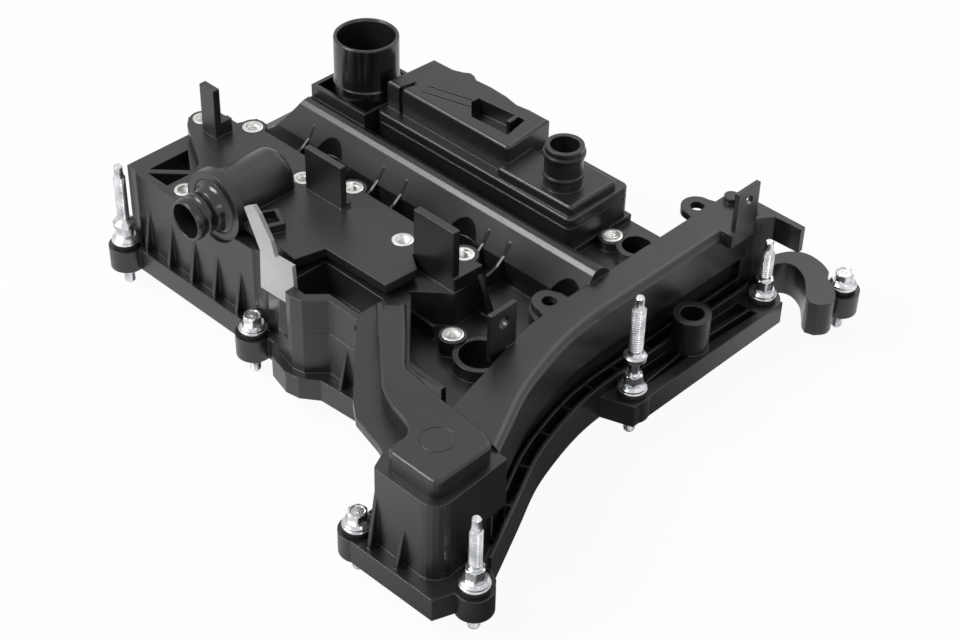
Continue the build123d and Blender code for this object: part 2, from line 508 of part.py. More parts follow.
def fasteners():
    os.makedirs("parts", exist_ok=True)
    bolts, collars, plains, washers, sleeves, grommets = [], [], [], [], [], []
    for c in HEX_AT:
        bolts.append(rod(c, SHANK_R, TIP_Z + 2, 18.5) + cone(c, 2.2, SHANK_R, TIP_Z, TIP_Z + 2)
                     + rod(c, 6.8, 17, 18.6) + hexagon(c, HEAD_FLATS, 18.4, 24.0) + rod(c, 3.8, 23.9, 24.4))
    for k, c in enumerate(COLLAR_AT):
        top = (63, 72)[k]
        stud = rod(c, SHANK_R, TIP_Z + 2, 18) + cone(c, 2.2, SHANK_R, TIP_Z, TIP_Z + 2)
        stud = stud + rod(c, 7.0, 17, 18.6) + hexagon(c, HEAD_FLATS, 18.4, 25) + rod(c, 2.9, 24, top - 38)
        stud = stud + rod(c, 2.9, 24, top - 36) + rod(c, 5.9, top - 38, top - 35)
        r = (3.1, 3.5)[k]
        stud = stud + rod(c, r, top - 35.2, top - 7) + cone(c, r, 2.4, top - 7, top - 5)
        collars.append(stud + rod(c, 2.4, top - 5.2, top))
    for k, c in enumerate(PLAIN_AT):
        top = (49.5, 55.5, 49.5)[k]
        stud = rod(c, SHANK_R, TIP_Z + 2, 18) + cone(c, 2.2, SHANK_R, TIP_Z, TIP_Z + 2)
        stud = stud + rod(c, 7.0, 17, 18.6) + hexagon(c, HEAD_FLATS, 18.4, 26)
        r = (3.5, 3.1, 3.1)[k]
        stud = stud + rod(c, r, 25.5, top - 7) + cone(c, r, 2.4, top - 7, top - 5)
        plains.append(stud + rod(c, 2.4, top - 5.2, top))
    for c in BOSSES:
        washers.append(ring(c, WASHER_R, 3.4, 15.4, 17))
        sleeves.append(ring(c, SLEEVE_R, 3.4, 0, 15.4))
        grommets.append(ring(c, WASHER_R - 0.8, SLEEVE_R, FLANGE_H, 15.4))
    return bolts, collars, plains, washers, sleeves, grommets


def main():
    os.makedirs("parts", exist_ok=True)
    shell = biggest(cover_shell())
    save(shell, "cover_shell")
    save(breather_cover(), "breather_cover")
    save(side_plate(), "breather_side_plate")
    save(timing_lid(), "timing_lid")
    save(separator_lid(), "separator_lid")
    save(oil_filler_neck(), "oil_filler_neck")
    save(ring(NECK_AT, NECK_R + 0.8, NECK_R, 50, 54), "filler_seal")

    nozzle = rod_y(TUBE_X, TUBE_Z, NOZZLE_R, NOZZLE_END, -91) + rod_y(TUBE_X, TUBE_Z, COLLAR_R - 4.4, -92, -89.6)
    nozzle = nozzle + [rod_y(TUBE_X, TUBE_Z, NOZZLE_R + 0.8, y, y + 2) for y in (-104, -98)]
    nozzle = nozzle - rod_y(TUBE_X, TUBE_Z, NOZZLE_BORE, NOZZLE_END - 1, -80)
    save(nozzle, "hose_connector")
    seal = rod_y(TUBE_X, TUBE_Z, COLLAR_R - 4.4, -89.6, -89) - rod_y(TUBE_X, TUBE_Z, COLLAR_R - 6.4, -90, -88)
    save(seal, "connector_seal")

    save(pcv_valve_seat(), "pcv_valve_seat")
    save(pcv_plunger(), "pcv_plunger")
    save(pcv_spring(), "pcv_spring")
    save(ring(PCV_AT, NIPPLE_BORE, 4.6, SPRING_HIGH, SPRING_HIGH + 2), "pcv_spring_retainer")

    bolts, collars, plains, washers, sleeves, grommets = fasteners()
    save(Compound(bolts), "hex_flange_bolts")
    save(Compound(collars), "collar_studs")
    save(Compound(plains), "plain_studs")
    save(Compound(washers), "sealing_washers")
    save(Compound(sleeves), "compression_sleeves")
    save(Compound(grommets), "bolt_grommets")

    inserts = []
    for x, y, z in INSERTS:
        inserts.append(ring((x, y), INSERT_R, 2.6, z - 12, z + 0.3))
    save(Compound(inserts), "threaded_inserts")

    strip = slab(inset(BODY, -1.1), -0.8, 4) - slab(inset(BODY, 1.5), -2, 5)
    save(strip, "cover_gasket")
    save(Compound([ring((x, y), bore + 2.3, bore + 0.9, -0.8, 4) for x, y, bore, top in WELLS]), "well_seals")

    save(block(-80, -47, 44, 46, 58.5, 85), "separator_baffle")
    save(slab([(-60, -66.6), (-36, -66.6), (-36, -37.4), (-60, -37.4)], 52, 53.6), "breather_baffle")


if __name__ == "__main__":
    main()
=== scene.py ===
"""Engine valve cover: the moulded cover, its breather, separator, filler neck and bright fasteners.

Surfaces are worked out in millimetres from the gasket face, and place() moves them into the frame of the
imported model, which is in metres.
"""
import math

import bpy
import numpy as np
from mathutils import Matrix


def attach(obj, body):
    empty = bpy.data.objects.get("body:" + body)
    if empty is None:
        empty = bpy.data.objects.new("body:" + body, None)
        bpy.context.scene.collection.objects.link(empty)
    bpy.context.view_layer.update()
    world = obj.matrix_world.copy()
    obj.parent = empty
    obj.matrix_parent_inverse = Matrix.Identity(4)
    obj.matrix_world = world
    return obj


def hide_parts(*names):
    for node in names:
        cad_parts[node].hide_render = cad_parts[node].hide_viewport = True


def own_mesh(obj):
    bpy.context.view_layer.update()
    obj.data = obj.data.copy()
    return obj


bl_info = {
    "name": "Valve cover",
    "version": (1, 0, 0),
    "blender": (4, 5, 0),
    "location": "View3D > Sidebar > Valve cover",
    "description": "Builds the detailed pieces and the finishes of a moulded engine valve cover",
    "category": "Object",
}

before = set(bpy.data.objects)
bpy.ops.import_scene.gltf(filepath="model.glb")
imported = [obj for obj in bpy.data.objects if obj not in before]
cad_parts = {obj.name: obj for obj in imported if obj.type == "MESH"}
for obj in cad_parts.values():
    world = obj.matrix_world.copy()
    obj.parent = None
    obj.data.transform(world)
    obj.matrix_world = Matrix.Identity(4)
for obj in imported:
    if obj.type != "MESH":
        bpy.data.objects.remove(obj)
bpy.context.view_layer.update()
COVER = "cover"
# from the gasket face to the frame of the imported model, in millimetres
SHIFT = np.array([1.75, 7.5, 12.0])

# fasteners: places in plan
BOLTS_AT = [(-51.0, -100.0), (88.0, -157.5), (136.0, 142.5), (-60.0, 85.0), (10.0, 85.0)]
# studs: place, height of the top, radius of the upper thread
COLLARED_AT = [(-154.0, -100.0, 63.0, 3.3), (113.0, 2.0, 72.0, 3.6)]
PLAIN_AT = [(111.5, 106.5, 49.5, 3.6), (150.5, -146.0, 55.5, 3.3), (-148.0, 84.0, 49.5, 3.3)]
HEAD_FLATS = 8.8
BOLT_FLANGE_R, STUD_FLANGE_R = 6.8, 7.0
SEAT_Z = 17.0
BOLT_HEAD_TOP, TALL_HEAD_TOP, SHORT_HEAD_TOP = 24.0, 25.0, 26.0
TIP_Z = -12.0
SHANK_R, SHANK_THREAD_R = 2.7, 3.0
COLLAR_R = 5.9
POINT_R = 2.3
# kinds of rows in a fastener
ROUND, HEXAGON, THREAD = 0, 1, 2
# washers: bore, rim, lower and upper face
WASHER_BORE, WASHER_R = 3.4, 7.5
WASHER_LOW, WASHER_TOP = 15.45, 16.98
# inserts: place and height of the top
INSERTS_AT = [
    (-154.0, -43.0, 66.0), (-129.5, -29.5, 66.0), (-118.5, -85.0, 58.5), (-76.0, -41.5, 66.0),
    (-52.5, -29.0, 66.0), (-3.0, -41.5, 66.0), (26.0, -28.3, 66.0), (49.5, -59.0, 47.0), (57.4, 46.2, 55.5),
]
INSERT_BORE, INSERT_R, INSERT_LENGTH = 2.6, 5.55, 12.0
FILLER_AT = (-110.0, 35.0)
BOTTOM_OF_NECK, TOP_OF_NECK = 46.0, 104.0
NECK_BORE, NECK_R = 15.2, 17.6
# the connector's axis runs along Y through this X and Z
TUBE_AT = (-86.5, 68.0)
CONNECTOR_BORE = 9.2

MOULDING_SPECULAR = 0.7
FLOOR_REACH = 6.0
AIM_POINT = (0.0, 0.0, 0.05)
# lamps: name, place, width and height, watts
LAMPS = [
    ("key", (-0.9, -1.3, 1.7), (1.2, 0.9), 40.0),
    ("back", (-0.3, 1.9, 1.9), (1.6, 0.7), 6.0),
    ("side", (1.9, -0.6, 1.2), (0.5, 0.5), 2.5),
]
# floor inside the arch: centre, radius that stays dark, radius where it is white again, dark level
ARCH_SHADE = ((0.19, -0.05, 0.0), 0.07, 0.22, 0.08)
CAMERA_WHITE, MIRRORED_SKY = 0.94, 0.8
# the photograph's camera: place in millimetres, focal length and frame width in pixels, and its axes
CAMERA_AT = (570.0, -590.0, 660.0)
FOCAL_PIXELS, FRAME_PIXELS, SENSOR_WIDTH = 2015.3, 960.0, 36.0
CAMERA_RIGHT = (0.7148, 0.6991, 0.0199)
CAMERA_DOWN = (0.4520, -0.4401, -0.7759)
CAMERA_FORWARD = (-0.5337, 0.5636, -0.6305)


# numpy surfaces

def place(points):
    """Millimetres from the gasket face to metres in the frame: (point + shift) / 1000."""
    return (np.asarray(points, float).reshape(-1, 3) + SHIFT) / 1000.0


def grid_faces(rows, columns, wrap_rows=False, wrap_columns=False):
    """Quads of a grid numbered row by row: corners (i, j), (i, j+1), (i+1, j+1), (i+1, j)."""
    i = np.arange(rows if wrap_rows else rows - 1)
    j = np.arange(columns if wrap_columns else columns - 1)
    i, j = np.meshgrid(i, j, indexing="ij")
    i2, j2 = (i + 1) % rows, (j + 1) % columns
    quads = np.stack([i * columns + j, i * columns + j2, i2 * columns + j2, i2 * columns + j], axis=-1)
    return quads.reshape(-1, 4)


def revolve(profile, centre, segments=64, closed=False):
    """Surface of revolution about an upright axis.

    Point (t, u) = centre + (r(t) cos u, r(t) sin u, z(t)) with the profile given as (r, z) pairs; a closed
    profile joins its last pair to its first, and an open one gets a flat cap at each end.
    """
    r, z = np.asarray(profile, float).T
    u = np.linspace(0.0, 2.0 * np.pi, segments, endpoint=False)
    x = centre[0] + np.outer(r, np.cos(u))
    y = centre[1] + np.outer(r, np.sin(u))
    zz = np.repeat(z[:, None], segments, axis=1)
    points = np.stack([x, y, zz], axis=-1).reshape(-1, 3)
    faces = grid_faces(len(r), segments, wrap_rows=closed, wrap_columns=True).tolist()
    if not closed:
        faces.append(list(range(segments))[::-1])
        faces.append(list(range((len(r) - 1) * segments, len(r) * segments)))
    return points, faces


def revolve_along_y(profile, x, z, segments=96, closed=True):
    """Surface of revolution about an axis along Y: the upright one turned, (r cos u, y(t), r sin u)."""
    points, faces = revolve(profile, (0.0, 0.0), segments, closed)
    turned = np.stack([x + points[:, 0], points[:, 2], z - points[:, 1]], axis=-1)
    return turned, faces


def hexagon_radius(u, flats):
    """Radius of a hexagon at angle u: half the width across flats over the cosine of the angle to a flat."""
    sixth = np.pi / 3.0
    return 0.5 * flats / np.cos((u - np.radians(15.0)) % sixth - sixth / 2.0)


def fastener(centre, rows, segments=60, pitch=1.0, depth=0.5):
    """One-piece fastener as a radius over angle and height, r(t, u).

    Rows are (z, radius, kind).  Round rows keep their radius; hexagon rows take the smaller of the hexagon's
    radius and the row's own, which makes the chamfer; thread rows take off depth times a triangle wave of
    z / pitch - u / turn, so the crest climbs one pitch in a turn.
    """
    z, radius, kind = np.asarray(rows, float).T
    u = np.linspace(0.0, 2.0 * np.pi, segments, endpoint=False)
    r = np.repeat(radius[:, None], segments, axis=1)
    r = np.where(kind[:, None] == HEXAGON, np.minimum(r, hexagon_radius(u, HEAD_FLATS)[None, :]), r)
    phase = (z[:, None] / pitch - u[None, :] / (2.0 * np.pi)) % 1.0
    wave = 1.0 - np.abs(2.0 * phase - 1.0)
    r = np.where(kind[:, None] == THREAD, r - depth * wave, r)
    points = np.stack([centre[0] + r * np.cos(u), centre[1] + r * np.sin(u),
                       np.repeat(z[:, None], segments, axis=1)], axis=-1).reshape(-1, 3)
    faces = grid_faces(len(z), segments, wrap_columns=True).tolist()
    faces.append(list(range(segments))[::-1])
    faces.append(list(range((len(z) - 1) * segments, len(z) * segments)))
    return points, faces


def rows_of(kind, *pairs):
    """Rows of one kind from pairs of height and radius."""
    return [(z, radius, kind) for z, radius in pairs]


def thread_rows(low, high, radius, pitch=1.0, per_turn=8):
    """Rows of a thread from low to high, z(k) = low + k pitch / per_turn."""
    z = np.arange(low, high, pitch / per_turn)
    return rows_of(THREAD, *((float(h), radius) for h in z))


def join(parts):
    """Several surfaces as one list of points and faces."""
    points, faces, start = [], [], 0
    for p, f in parts:
        points.append(np.asarray(p, float))
        faces += [[start + k for k in face] for face in f]
        start += len(p)
    return np.concatenate(points), faces


def add_piece(name, surface, material, angle=35.0, replaces=(), body=COVER):
    """Make the mesh, finish it, and fix it to its body; faces meeting at more than angle stay sharp."""
    points, faces = surface
    mesh = bpy.data.meshes.new(name)
    mesh.from_pydata(place(points).tolist(), [], faces)
    mesh.validate()
    mesh.polygons.foreach_set("use_smooth", np.ones(len(mesh.polygons), bool))
    mesh.set_sharp_from_angle(angle=math.radians(angle))
    mesh.materials.append(material)
    piece = bpy.data.objects.new(name, mesh)
    bpy.context.scene.collection.objects.link(piece)
    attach(piece, body)
    if replaces:
        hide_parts(*replaces)
    return piece


# finishes

def new_group(name, inputs, outputs):
    """Empty shader node group with named sockets: (name, type, default)."""
    group = bpy.data.node_groups.new(name, "ShaderNodeTree")
    for label, kind, default in inputs:
        socket = group.interface.new_socket(label, in_out="INPUT", socket_type=kind)
        if default is not None:
            socket.default_value = default
    for label, kind in outputs:
        group.interface.new_socket(label, in_out="OUTPUT", socket_type=kind)
    return group, group.nodes.new("NodeGroupInput"), group.nodes.new("NodeGroupOutput")


def add_node(tree, kind, inputs=(), **settings):
    """New node with its settings; an input is linked where it is a socket and set where it is a value."""
    node = tree.nodes.new(kind)
    for key, value in settings.items():
        setattr(node, key, value)
    for key, value in dict(inputs).items():
        if isinstance(value, bpy.types.NodeSocket):
            tree.links.new(value, node.inputs[key])
        else:
            node.inputs[key].default_value = value
    return node


def moulding_group():
    """Moulded skin: fine spark-eroded grain and slow flow marks.

    Height is a fine noise; tone and roughness vary with a slow noise stretched along the flow.
    """
    group, inp, out = new_group(
        "moulded_skin",
        [("Vector", "NodeSocketVector", None), ("Grain size", "NodeSocketFloat", 0.0006),
         ("Dark", "NodeSocketColor", (0.01, 0.01, 0.01, 1)),
         ("Light", "NodeSocketColor", (0.03, 0.03, 0.03, 1)),
         ("Gloss", "NodeSocketFloat", 0.4), ("Gloss spread", "NodeSocketFloat", 0.1)],
        [("Color", "NodeSocketColor"), ("Roughness", "NodeSocketFloat"), ("Height", "NodeSocketFloat")])
    scale = add_node(group, "ShaderNodeMath", {0: 1.0, 1: inp.outputs["Grain size"]}, operation="DIVIDE")
    grain = add_node(group, "ShaderNodeTexNoise", {"Vector": inp.outputs["Vector"], "Scale": scale.outputs[0],
                                                    "Detail": 3.0, "Roughness": 0.6})
    flow_map = add_node(group, "ShaderNodeMapping", {"Vector": inp.outputs["Vector"],
                                                     "Scale": (14.0, 30.0, 22.0)})
    flow = add_node(group, "ShaderNodeTexNoise", {"Vector": flow_map.outputs[0], "Scale": 1.0, "Detail": 4.0,
                                                  "Roughness": 0.55, "Distortion": 0.4})
    tone = add_node(group, "ShaderNodeMapRange", {0: flow.outputs["Fac"], 1: 0.35, 2: 0.7})
    mixed = add_node(group, "ShaderNodeMix", {0: tone.outputs[0], 6: inp.outputs["Dark"],
                                              7: inp.outputs["Light"]}, data_type="RGBA")
    spread = add_node(group, "ShaderNodeMath", {0: flow.outputs["Fac"], 1: 0.5}, operation="SUBTRACT")
    rough = add_node(group, "ShaderNodeMath", {0: spread.outputs[0], 1: inp.outputs["Gloss spread"],
                                               2: inp.outputs["Gloss"]}, operation="MULTIPLY_ADD")
    speck = add_node(group, "ShaderNodeMath", {0: grain.outputs["Fac"], 1: 0.06, 2: rough.outputs[0]},
                     operation="MULTIPLY_ADD")
    group.links.new(mixed.outputs[2], out.inputs["Color"])
    group.links.new(speck.outputs[0], out.inputs["Roughness"])
    group.links.new(grain.outputs["Fac"], out.inputs["Height"])
    return group


def metal_group():
    """Plated or turned metal: fine noise in tone and gloss, and shallow tool marks as height."""
    group, inp, out = new_group(
        "plated_metal",
        [("Vector", "NodeSocketVector", None), ("Bright", "NodeSocketColor", (0.8, 0.8, 0.8, 1)),
         ("Dull", "NodeSocketColor", (0.5, 0.5, 0.5, 1)), ("Gloss", "NodeSocketFloat", 0.2),
         ("Gloss spread", "NodeSocketFloat", 0.2)],
        [("Color", "NodeSocketColor"), ("Roughness", "NodeSocketFloat"), ("Height", "NodeSocketFloat")])
    marks = add_node(group, "ShaderNodeTexNoise", {"Vector": inp.outputs["Vector"], "Scale": 900.0,
                                                   "Detail": 4.0, "Roughness": 0.65})
    patch = add_node(group, "ShaderNodeTexNoise", {"Vector": inp.outputs["Vector"], "Scale": 160.0,
                                                   "Detail": 3.0})
    tone = add_node(group, "ShaderNodeMapRange", {0: patch.outputs["Fac"], 1: 0.35, 2: 0.65})
    mixed = add_node(group, "ShaderNodeMix", {0: tone.outputs[0], 6: inp.outputs["Dull"],
                                              7: inp.outputs["Bright"]}, data_type="RGBA")
    rough = add_node(group, "ShaderNodeMath", {0: marks.outputs["Fac"], 1: inp.outputs["Gloss spread"],
                                               2: inp.outputs["Gloss"]}, operation="MULTIPLY_ADD")
    group.links.new(mixed.outputs[2], out.inputs["Color"])
    group.links.new(rough.outputs[0], out.inputs["Roughness"])
    group.links.new(marks.outputs["Fac"], out.inputs["Height"])
    return group


def finish(name, group, values, bump, rounding=0.0, metallic=0.0, specular=0.5):
    """One material: the group's colour, roughness and height on a Principled surface, with softened edges."""
    material = bpy.data.materials.new(name)
    material.use_nodes = True
    tree = material.node_tree
    shader = tree.nodes["Principled BSDF"]
    coords = add_node(tree, "ShaderNodeTexCoord")
    skin = tree.nodes.new("ShaderNodeGroup")
    skin.node_tree = group
    tree.links.new(coords.outputs["Object"], skin.inputs["Vector"])
    for key, value in values.items():
        skin.inputs[key].default_value = value
    relief = add_node(tree, "ShaderNodeBump", {"Height": skin.outputs["Height"], "Strength": 1.0,
                                               "Distance": bump})
    if rounding:
        edge = add_node(tree, "ShaderNodeBevel", {"Radius": rounding}, samples=6)
        tree.links.new(edge.outputs[0], relief.inputs["Normal"])
    tree.links.new(skin.outputs["Color"], shader.inputs["Base Color"])
    tree.links.new(skin.outputs["Roughness"], shader.inputs["Roughness"])
    tree.links.new(relief.outputs[0], shader.inputs["Normal"])
    shader.inputs["Metallic"].default_value = metallic
    shader.inputs["Specular IOR Level"].default_value = specular
    return material


def finishes():
    """The materials of the whole object, made once and found again by name."""
    if "moulded_black" in bpy.data.materials:
        return bpy.data.materials
    size = bpy.context.scene.valve_cover
    moulded, plated = moulding_group(), metal_group()
    edge = size.edge_radius
    # the flow marks are a little lighter than the moulding, and the turned mouldings are smoother
    dark = tuple(size.nylon_colour) + (1.0,)
    light = tuple(min(1.0, 1.8 * c + 0.002) for c in size.nylon_colour) + (1.0,)
    skin = {"Grain size": size.grain, "Dark": dark, "Light": light, "Gloss": size.gloss, "Gloss spread": 0.16}
    smooth = dict(skin, Gloss=size.gloss - 0.12)
    # the side plate's pale grey is a painted sheen: the low lamp's reflection on its face is painted into the
    # colour
    pale = {"Dark": (0.42, 0.43, 0.42, 1), "Light": (0.6, 0.61, 0.6, 1), "Gloss": 0.42}
    finish("moulded_black", moulded, skin, bump=0.00005, rounding=edge, specular=MOULDING_SPECULAR)
    finish("moulded_smooth", moulded, smooth, bump=0.00002, rounding=edge, specular=MOULDING_SPECULAR)
    finish("pale_painted_sheen", moulded, pale, bump=0.00003)
    zinc = tuple(size.zinc_colour) + (1.0,)
    plating = {"Bright": zinc, "Dull": (0.5, 0.51, 0.53, 1), "Gloss": 0.12}
    turned = {"Bright": (0.9, 0.9, 0.88, 1), "Dull": (0.7, 0.7, 0.68, 1), "Gloss": 0.25}
    steel = {"Bright": (0.6, 0.6, 0.6, 1), "Dull": (0.4, 0.4, 0.4, 1), "Gloss": 0.3}
    finish("zinc_plate", plated, plating, bump=0.00004, metallic=1.0)
    finish("turned_bright", plated, turned, bump=0.00003, metallic=1.0)
    finish("steel_plain", plated, steel, bump=0.00003, metallic=1.0)
    rubber = {"Dark": (0.012, 0.012, 0.012, 1), "Light": (0.03, 0.03, 0.03, 1), "Gloss": 0.6}
    finish("rubber_black", moulded, rubber, bump=0.00004)
    finish("rubber_brown", moulded, dict(rubber, Dark=(0.02, 0.012, 0.008, 1)), bump=0.00004)
    return bpy.data.materials


class ValveCoverSettings(bpy.types.PropertyGroup):
    """Sizes and colours that a user would change."""

    grain: bpy.props.FloatProperty(
        name="Grain size", description="Width of one grain of the moulded skin",
        default=0.0007, min=0.0001, max=0.01, precision=5, unit="LENGTH")
    gloss: bpy.props.FloatProperty(
        name="Roughness", description="Roughness of the moulded skin",
        default=0.3, min=0.0, max=1.0, subtype="FACTOR")
    edge_radius: bpy.props.FloatProperty(
        name="Edge radius", description="Softening of the moulded edges",
        default=0.0009, min=0.0, max=0.003, precision=5, unit="LENGTH")
    nylon_colour: bpy.props.FloatVectorProperty(
        name="Moulding colour", description="Colour of the black moulding",
        default=(0.007, 0.0072, 0.007), min=0.0, max=1.0, subtype="COLOR")
    zinc_colour: bpy.props.FloatVectorProperty(
        name="Plating colour", description="Colour of the zinc plate",
        default=(0.86, 0.87, 0.89), min=0.0, max=1.0, subtype="COLOR")
    thread_pitch: bpy.props.FloatProperty(
        name="Thread pitch", description="Rise of the stud thread in one turn, mm",
        default=1.35, min=0.5, max=2.0)
    floor_colour: bpy.props.FloatVectorProperty(
        name="Floor colour", description="Colour of the floor",
        default=(0.9, 0.9, 0.9), min=0.0, max=1.0, subtype="COLOR")
    sky: bpy.props.FloatProperty(
        name="Room light", description="Strength of the even light of the room",
        default=0.3, min=0.0, max=3.0)


class OBJECT_OT_cover_finish(bpy.types.Operator):
    """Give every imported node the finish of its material"""

    bl_idname = "valvecover.cover_finish"
    bl_label = "Finish of the packed nodes"

    def execute(self, context):
        look = finishes()
        chosen = {
            "moulded_black": ["cover_shell", "breather_cover", "timing_lid", "separator_lid",
                              "separator_baffle", "breather_baffle"],
            "moulded_smooth": ["oil_filler_neck", "hose_connector"],
            "pale_painted_sheen": ["breather_side_plate"],
            "rubber_black": ["filler_seal", "connector_seal", "bolt_grommets"],
            "rubber_brown": ["well_seals", "cover_gasket"],
            "steel_plain": ["pcv_valve_seat", "pcv_plunger", "pcv_spring", "pcv_spring_retainer",
                            "compression_sleeves"],
            "zinc_plate": ["hex_flange_bolts", "collar_studs", "plain_studs", "sealing_washers"],
            "turned_bright": ["threaded_inserts"],
        }
        finish_of = {node: material for material, nodes in chosen.items() for node in nodes}
        for name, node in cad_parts.items():
            node.data.materials.clear()
            node.data.materials.append(look[finish_of[name]])
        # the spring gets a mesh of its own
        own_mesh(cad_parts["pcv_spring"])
        return {"FINISHED"}


def shank_rows():
    """Rows of the shank below the head: chamfered tip, thread, and a plain part up to the washer."""
    rows = rows_of(ROUND, (TIP_Z, 1.9), (TIP_Z + 1.0, 2.3), (TIP_Z + 1.0, 2.75))
    rows += thread_rows(TIP_Z + 1.4, 12.0, SHANK_THREAD_R)
    return rows + rows_of(ROUND, (12.6, SHANK_R), (SEAT_Z, SHANK_R))


def head_rows(flange_r, high):
    """Rows of a conical flange on the washer, with a chamfered hexagon up to high."""
    rows = rows_of(ROUND, (SEAT_Z, 2.8), (SEAT_Z, flange_r - 0.3), (SEAT_Z + 0.3, flange_r),
                   (SEAT_Z + 0.9, flange_r), (SEAT_Z + 1.3, flange_r - 0.5), (SEAT_Z + 2.2, 5.6))
    return rows + rows_of(HEXAGON, (SEAT_Z + 2.2, 5.5), (high - 1.0, 5.3), (high - 0.35, 4.75), (high, 4.2))


def upper_rows(r, low, top, pitch):
    """Rows of the upper thread of radius r, and of the plain point above it."""
    rows = thread_rows(low, top - 7.0, r, pitch)
    return rows + rows_of(ROUND, (top - 6.6, r - 0.6), (top - 5.4, POINT_R + 0.2), (top - 5.0, POINT_R),
                          (top - 0.6, POINT_R), (top, POINT_R - 0.5), (top, 0.3))


class OBJECT_OT_cover_bolts(bpy.types.Operator):
    """Hexagon bolts with a conical flange, a dished head and a threaded tip"""

    bl_idname = "valvecover.bolts"
    bl_label = "Hexagon flange bolts"

    def execute(self, context):
        top = BOLT_HEAD_TOP
        rows = shank_rows() + head_rows(BOLT_FLANGE_R, top)
        rows += rows_of(ROUND, (top, 3.5), (top - 0.4, 3.1), (top - 0.4, 1.5), (top + 0.1, 1.1),
                        (top + 0.1, 0.3))
        parts = [fastener(centre, rows) for centre in BOLTS_AT]
        add_piece("flange_bolts", join(parts), finishes()["zinc_plate"],
                  replaces=["hex_flange_bolts"])
        return {"FINISHED"}


class OBJECT_OT_cover_studs(bpy.types.Operator):
    """Studs with a hexagon, a collar on the tall ones, an upper thread and a dog point"""

    bl_idname = "valvecover.studs"
    bl_label = "Threaded studs"

    def execute(self, context):
        tall, plain = [], []
        pitch = context.scene.valve_cover.thread_pitch
        for x, y, top, r in COLLARED_AT:
            low = top - 38.0
            rows = shank_rows() + head_rows(STUD_FLANGE_R, TALL_HEAD_TOP)
            rows += rows_of(ROUND, (TALL_HEAD_TOP, 3.2), (TALL_HEAD_TOP + 0.6, SHANK_R),
                            (low - 0.5, SHANK_R), (low, 3.2), (low, COLLAR_R - 0.3), (low + 0.3, COLLAR_R),
                            (low + 2.6, COLLAR_R), (low + 3.0, COLLAR_R - 0.4), (low + 3.4, 4.0),
                            (low + 4.8, r - 0.5), (low + 5.6, r - 0.5))
            tall.append(fastener((x, y), rows + upper_rows(r, low + 5.8, top, pitch), pitch=pitch))
        for x, y, top, r in PLAIN_AT:
            low = SHORT_HEAD_TOP
            rows = shank_rows() + head_rows(STUD_FLANGE_R, low)
            rows += rows_of(ROUND, (low, 3.4), (low + 0.5, r - 0.5), (low + 2.0, r - 0.5))
            plain.append(fastener((x, y), rows + upper_rows(r, low + 2.4, top, pitch), pitch=pitch))
        look = finishes()["zinc_plate"]
        add_piece("tall_studs", join(tall), look, replaces=["collar_studs"])
        add_piece("short_studs", join(plain), look, replaces=["plain_studs"])
        return {"FINISHED"}


class OBJECT_OT_cover_washers(bpy.types.Operator):
    """Washers with a rolled edge under every head"""

    bl_idname = "valvecover.washers"
    bl_label = "Sealing washers"

    def execute(self, context):
        rim = [(WASHER_R - 0.5, WASHER_LOW), (WASHER_R - 0.15, 15.6), (WASHER_R, 15.95),
               (WASHER_R - 0.05, 16.4), (WASHER_R - 0.3, 16.75), (WASHER_R - 0.7, 16.9)]
        profile = [(WASHER_BORE, WASHER_LOW)] + rim + [(5.4, 16.95), (WASHER_BORE, WASHER_TOP)]
        places = BOLTS_AT + [p[:2] for p in COLLARED_AT + PLAIN_AT]
        parts = [revolve(profile, p, segments=72, closed=True) for p in places]
        add_piece("rolled_washers", join(parts), finishes()["zinc_plate"],
                  replaces=["sealing_washers"])
        return {"FINISHED"}


class OBJECT_OT_cover_inserts(bpy.types.Operator):
    """Turned inserts with a chamfered, threaded bore"""

    bl_idname = "valvecover.inserts"
    bl_label = "Threaded inserts"

    def execute(self, context):
        parts = []
        for x, y, top in INSERTS_AT:
            low = top - INSERT_LENGTH
            # the bore's thread is a triangle wave of the height, one millimetre to a turn
            z = np.arange(low + 1.0, top - 0.9, 0.125)
            wave = 1.0 - np.abs(2.0 * (z % 1.0) - 1.0)
            bore = [(INSERT_BORE + 0.4 * w, float(h)) for h, w in zip(z, wave)]
            profile = bore + [(3.1, top - 0.7), (3.7, top + 0.25), (3.9, top + 0.3), (5.2, top + 0.3),
                              (5.5, top + 0.1), (INSERT_R, top - 0.4), (INSERT_R, low), (2.7, low)]
            parts.append(revolve(profile, (x, y), segments=48, closed=True))
        add_piece("turned_inserts", join(parts), finishes()["turned_bright"],
                  replaces=["threaded_inserts"])
        return {"FINISHED"}


class OBJECT_OT_cover_neck(bpy.types.Operator):
    """Oil filler neck with a rounded mouth, a shoulder ring and a stepped bore"""

    bl_idname = "valvecover.neck"
    bl_label = "Oil filler neck"

    def execute(self, context):
        top, low = TOP_OF_NECK, BOTTOM_OF_NECK
        bore = [(NECK_BORE, low), (NECK_BORE, 60.0), (14.9, 60.5), (14.9, 66.0), (NECK_BORE, 66.5),
                (NECK_BORE, top - 1.4)]
        mouth = [(15.5, top - 0.5), (16.0, top), (17.0, top), (17.45, top - 0.4), (NECK_R, top - 1.2)]
        shoulder = [(NECK_R, 79.0), (17.75, 78.4), (18.2, 78.0), (18.2, 57.4), (17.7, 57.0), (NECK_R, 56.6),
                    (NECK_R, low)]
        wall = revolve(bore + mouth + shoulder, FILLER_AT, segments=128, closed=True)
        add_piece("filler_neck", wall, finishes()["moulded_smooth"],
                  replaces=["oil_filler_neck"])
        return {"FINISHED"}


